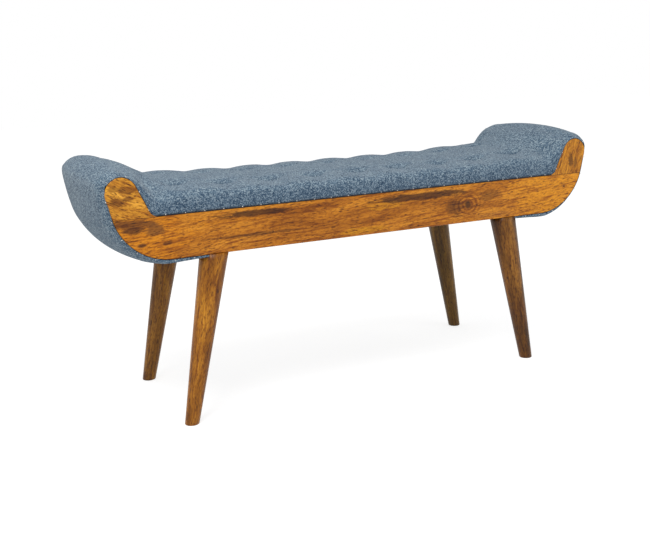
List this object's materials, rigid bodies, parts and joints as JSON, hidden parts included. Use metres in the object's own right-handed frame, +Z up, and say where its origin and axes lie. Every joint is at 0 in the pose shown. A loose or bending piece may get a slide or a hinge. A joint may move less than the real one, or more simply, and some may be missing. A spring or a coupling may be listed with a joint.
{
  "type": "upholstered bench",
  "caption": "Long bench with a tufted tweed seat that runs up over rounded arms at both ends, on wooden rails with upswept ends and raked tapered legs.",
  "frame": {"origin": "on the floor, under the middle of the seat", "axes": "+X along the bench's length, +Y towards the back, +Z up"},
  "size_m": [1.1318, 0.3358, 0.5179],
  "materials": {
    "oiled_wood": "satin lacquer over mango wood",
    "raw_wood": "planed, unfinished",
    "plywood": "sanded plywood",
    "zinc_steel": "zinc plated",
    "twine": "waxed twine",
    "foam": "open-cell foam",
    "tweed": "blue-grey tweed",
    "lining": "black non-woven cloth"
  },
  "bodies": {
    "root": {"front_rail": "oiled_wood", "back_rail": "oiled_wood", "front_left_ear": "oiled_wood", "front_right_ear": "oiled_wood", "back_left_ear": "oiled_wood", "back_right_ear": "oiled_wood", "front_left_leg": "oiled_wood", "front_right_leg": "oiled_wood", "back_left_leg": "oiled_wood", "back_right_leg": "oiled_wood", "left_leg_rail": "raw_wood", "right_leg_rail": "raw_wood", "middle_rail": "raw_wood", "left_arm_bar": "raw_wood", "right_arm_bar": "raw_wood", "front_deck_cleat": "raw_wood", "back_deck_cleat": "raw_wood", "ear_dowels": "raw_wood", "cross_rail_dowels": "raw_wood", "arm_bar_dowels": "raw_wood", "seat_deck": "plywood", "left_end_shell": "plywood", "right_end_shell": "plywood", "left_slope_board": "plywood", "right_slope_board": "plywood", "leg_bolts": "zinc_steel", "leg_inserts": "zinc_steel", "deck_screws": "zinc_steel", "cleat_screws": "zinc_steel", "dust_cover_staples": "zinc_steel", "tuft_washers": "zinc_steel", "tuft_ties": "twine", "seat_foam": "foam", "left_end_foam": "foam", "right_end_foam": "foam", "seat_cover": "tweed", "left_end_cover": "tweed", "right_end_cover": "tweed", "dust_cover": "lining"}
  },
  "joints": []
}
